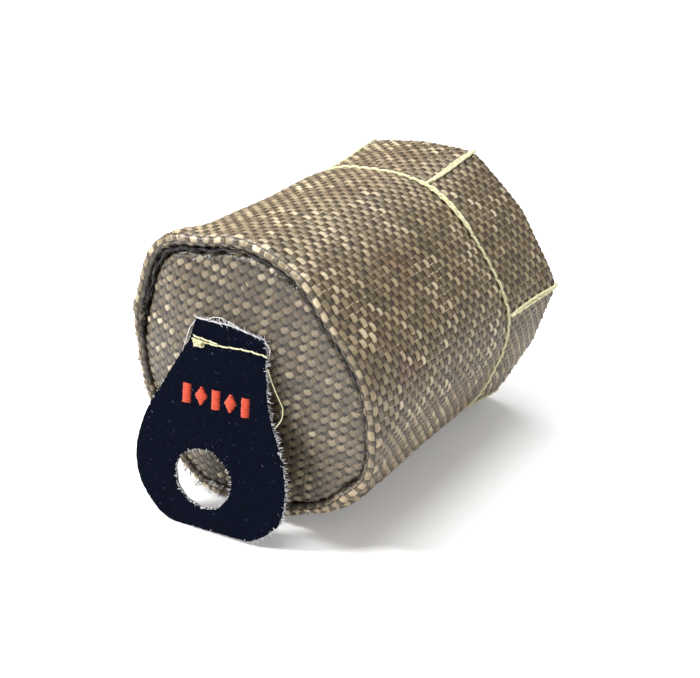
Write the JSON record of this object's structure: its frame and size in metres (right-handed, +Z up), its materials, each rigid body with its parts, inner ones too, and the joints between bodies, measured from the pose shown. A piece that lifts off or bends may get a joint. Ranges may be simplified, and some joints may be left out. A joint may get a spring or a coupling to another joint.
{
  "type": "oil filter heat blanket",
  "caption": "Soft cup-shaped heat blanket of woven heat-proof cloth, with a padded wall and end, a quilted mouth hem and a holed denim pull tab sewn to its closed end.",
  "frame": {"origin": "the middle of the lining's end face, where the filter's closed end seats, on the cup's axis", "axes": "+X along the cup's axis from its closed end to its mouth; +Z up, away from the floor that the cup lies on; +Y completes the right-handed frame"},
  "size_m": [0.1039, 0.0843, 0.0791],
  "materials": {
    "woven_cloth": "plain-woven rock-fibre yarn, glossy brown and cream",
    "needled_mat": "needled fibre mat, matt off-white",
    "lining_cloth": "thin woven glass cloth, pale grey",
    "pale_thread": "twisted sewing thread, pale yellow",
    "dark_thread": "twisted sewing thread, near-black",
    "denim": "navy denim twill with frayed white edges",
    "orange_thread": "satin-stitched thread, bright orange"
  },
  "bodies": {
    "root": {"outer_wall": "woven_cloth", "outer_end": "woven_cloth", "wall_padding": "needled_mat", "end_padding": "needled_mat", "wall_lining": "lining_cloth", "end_lining": "lining_cloth", "ring_stitch": "pale_thread", "hem_tie_1": "pale_thread", "hem_tie_2": "pale_thread", "hem_tie_3": "pale_thread", "hem_tie_4": "pale_thread", "hem_tie_5": "pale_thread", "hem_tie_6": "pale_thread", "end_seam_thread": "dark_thread", "side_seam_thread": "dark_thread", "pull_tab": "denim", "tab_stitch": "pale_thread", "tab_stitch_knot": "pale_thread", "thread_tail": "pale_thread", "tab_mark_1": "orange_thread", "tab_mark_2": "orange_thread", "tab_mark_3": "orange_thread", "tab_mark_4": "orange_thread", "tab_mark_5": "orange_thread"}
  },
  "joints": []
}
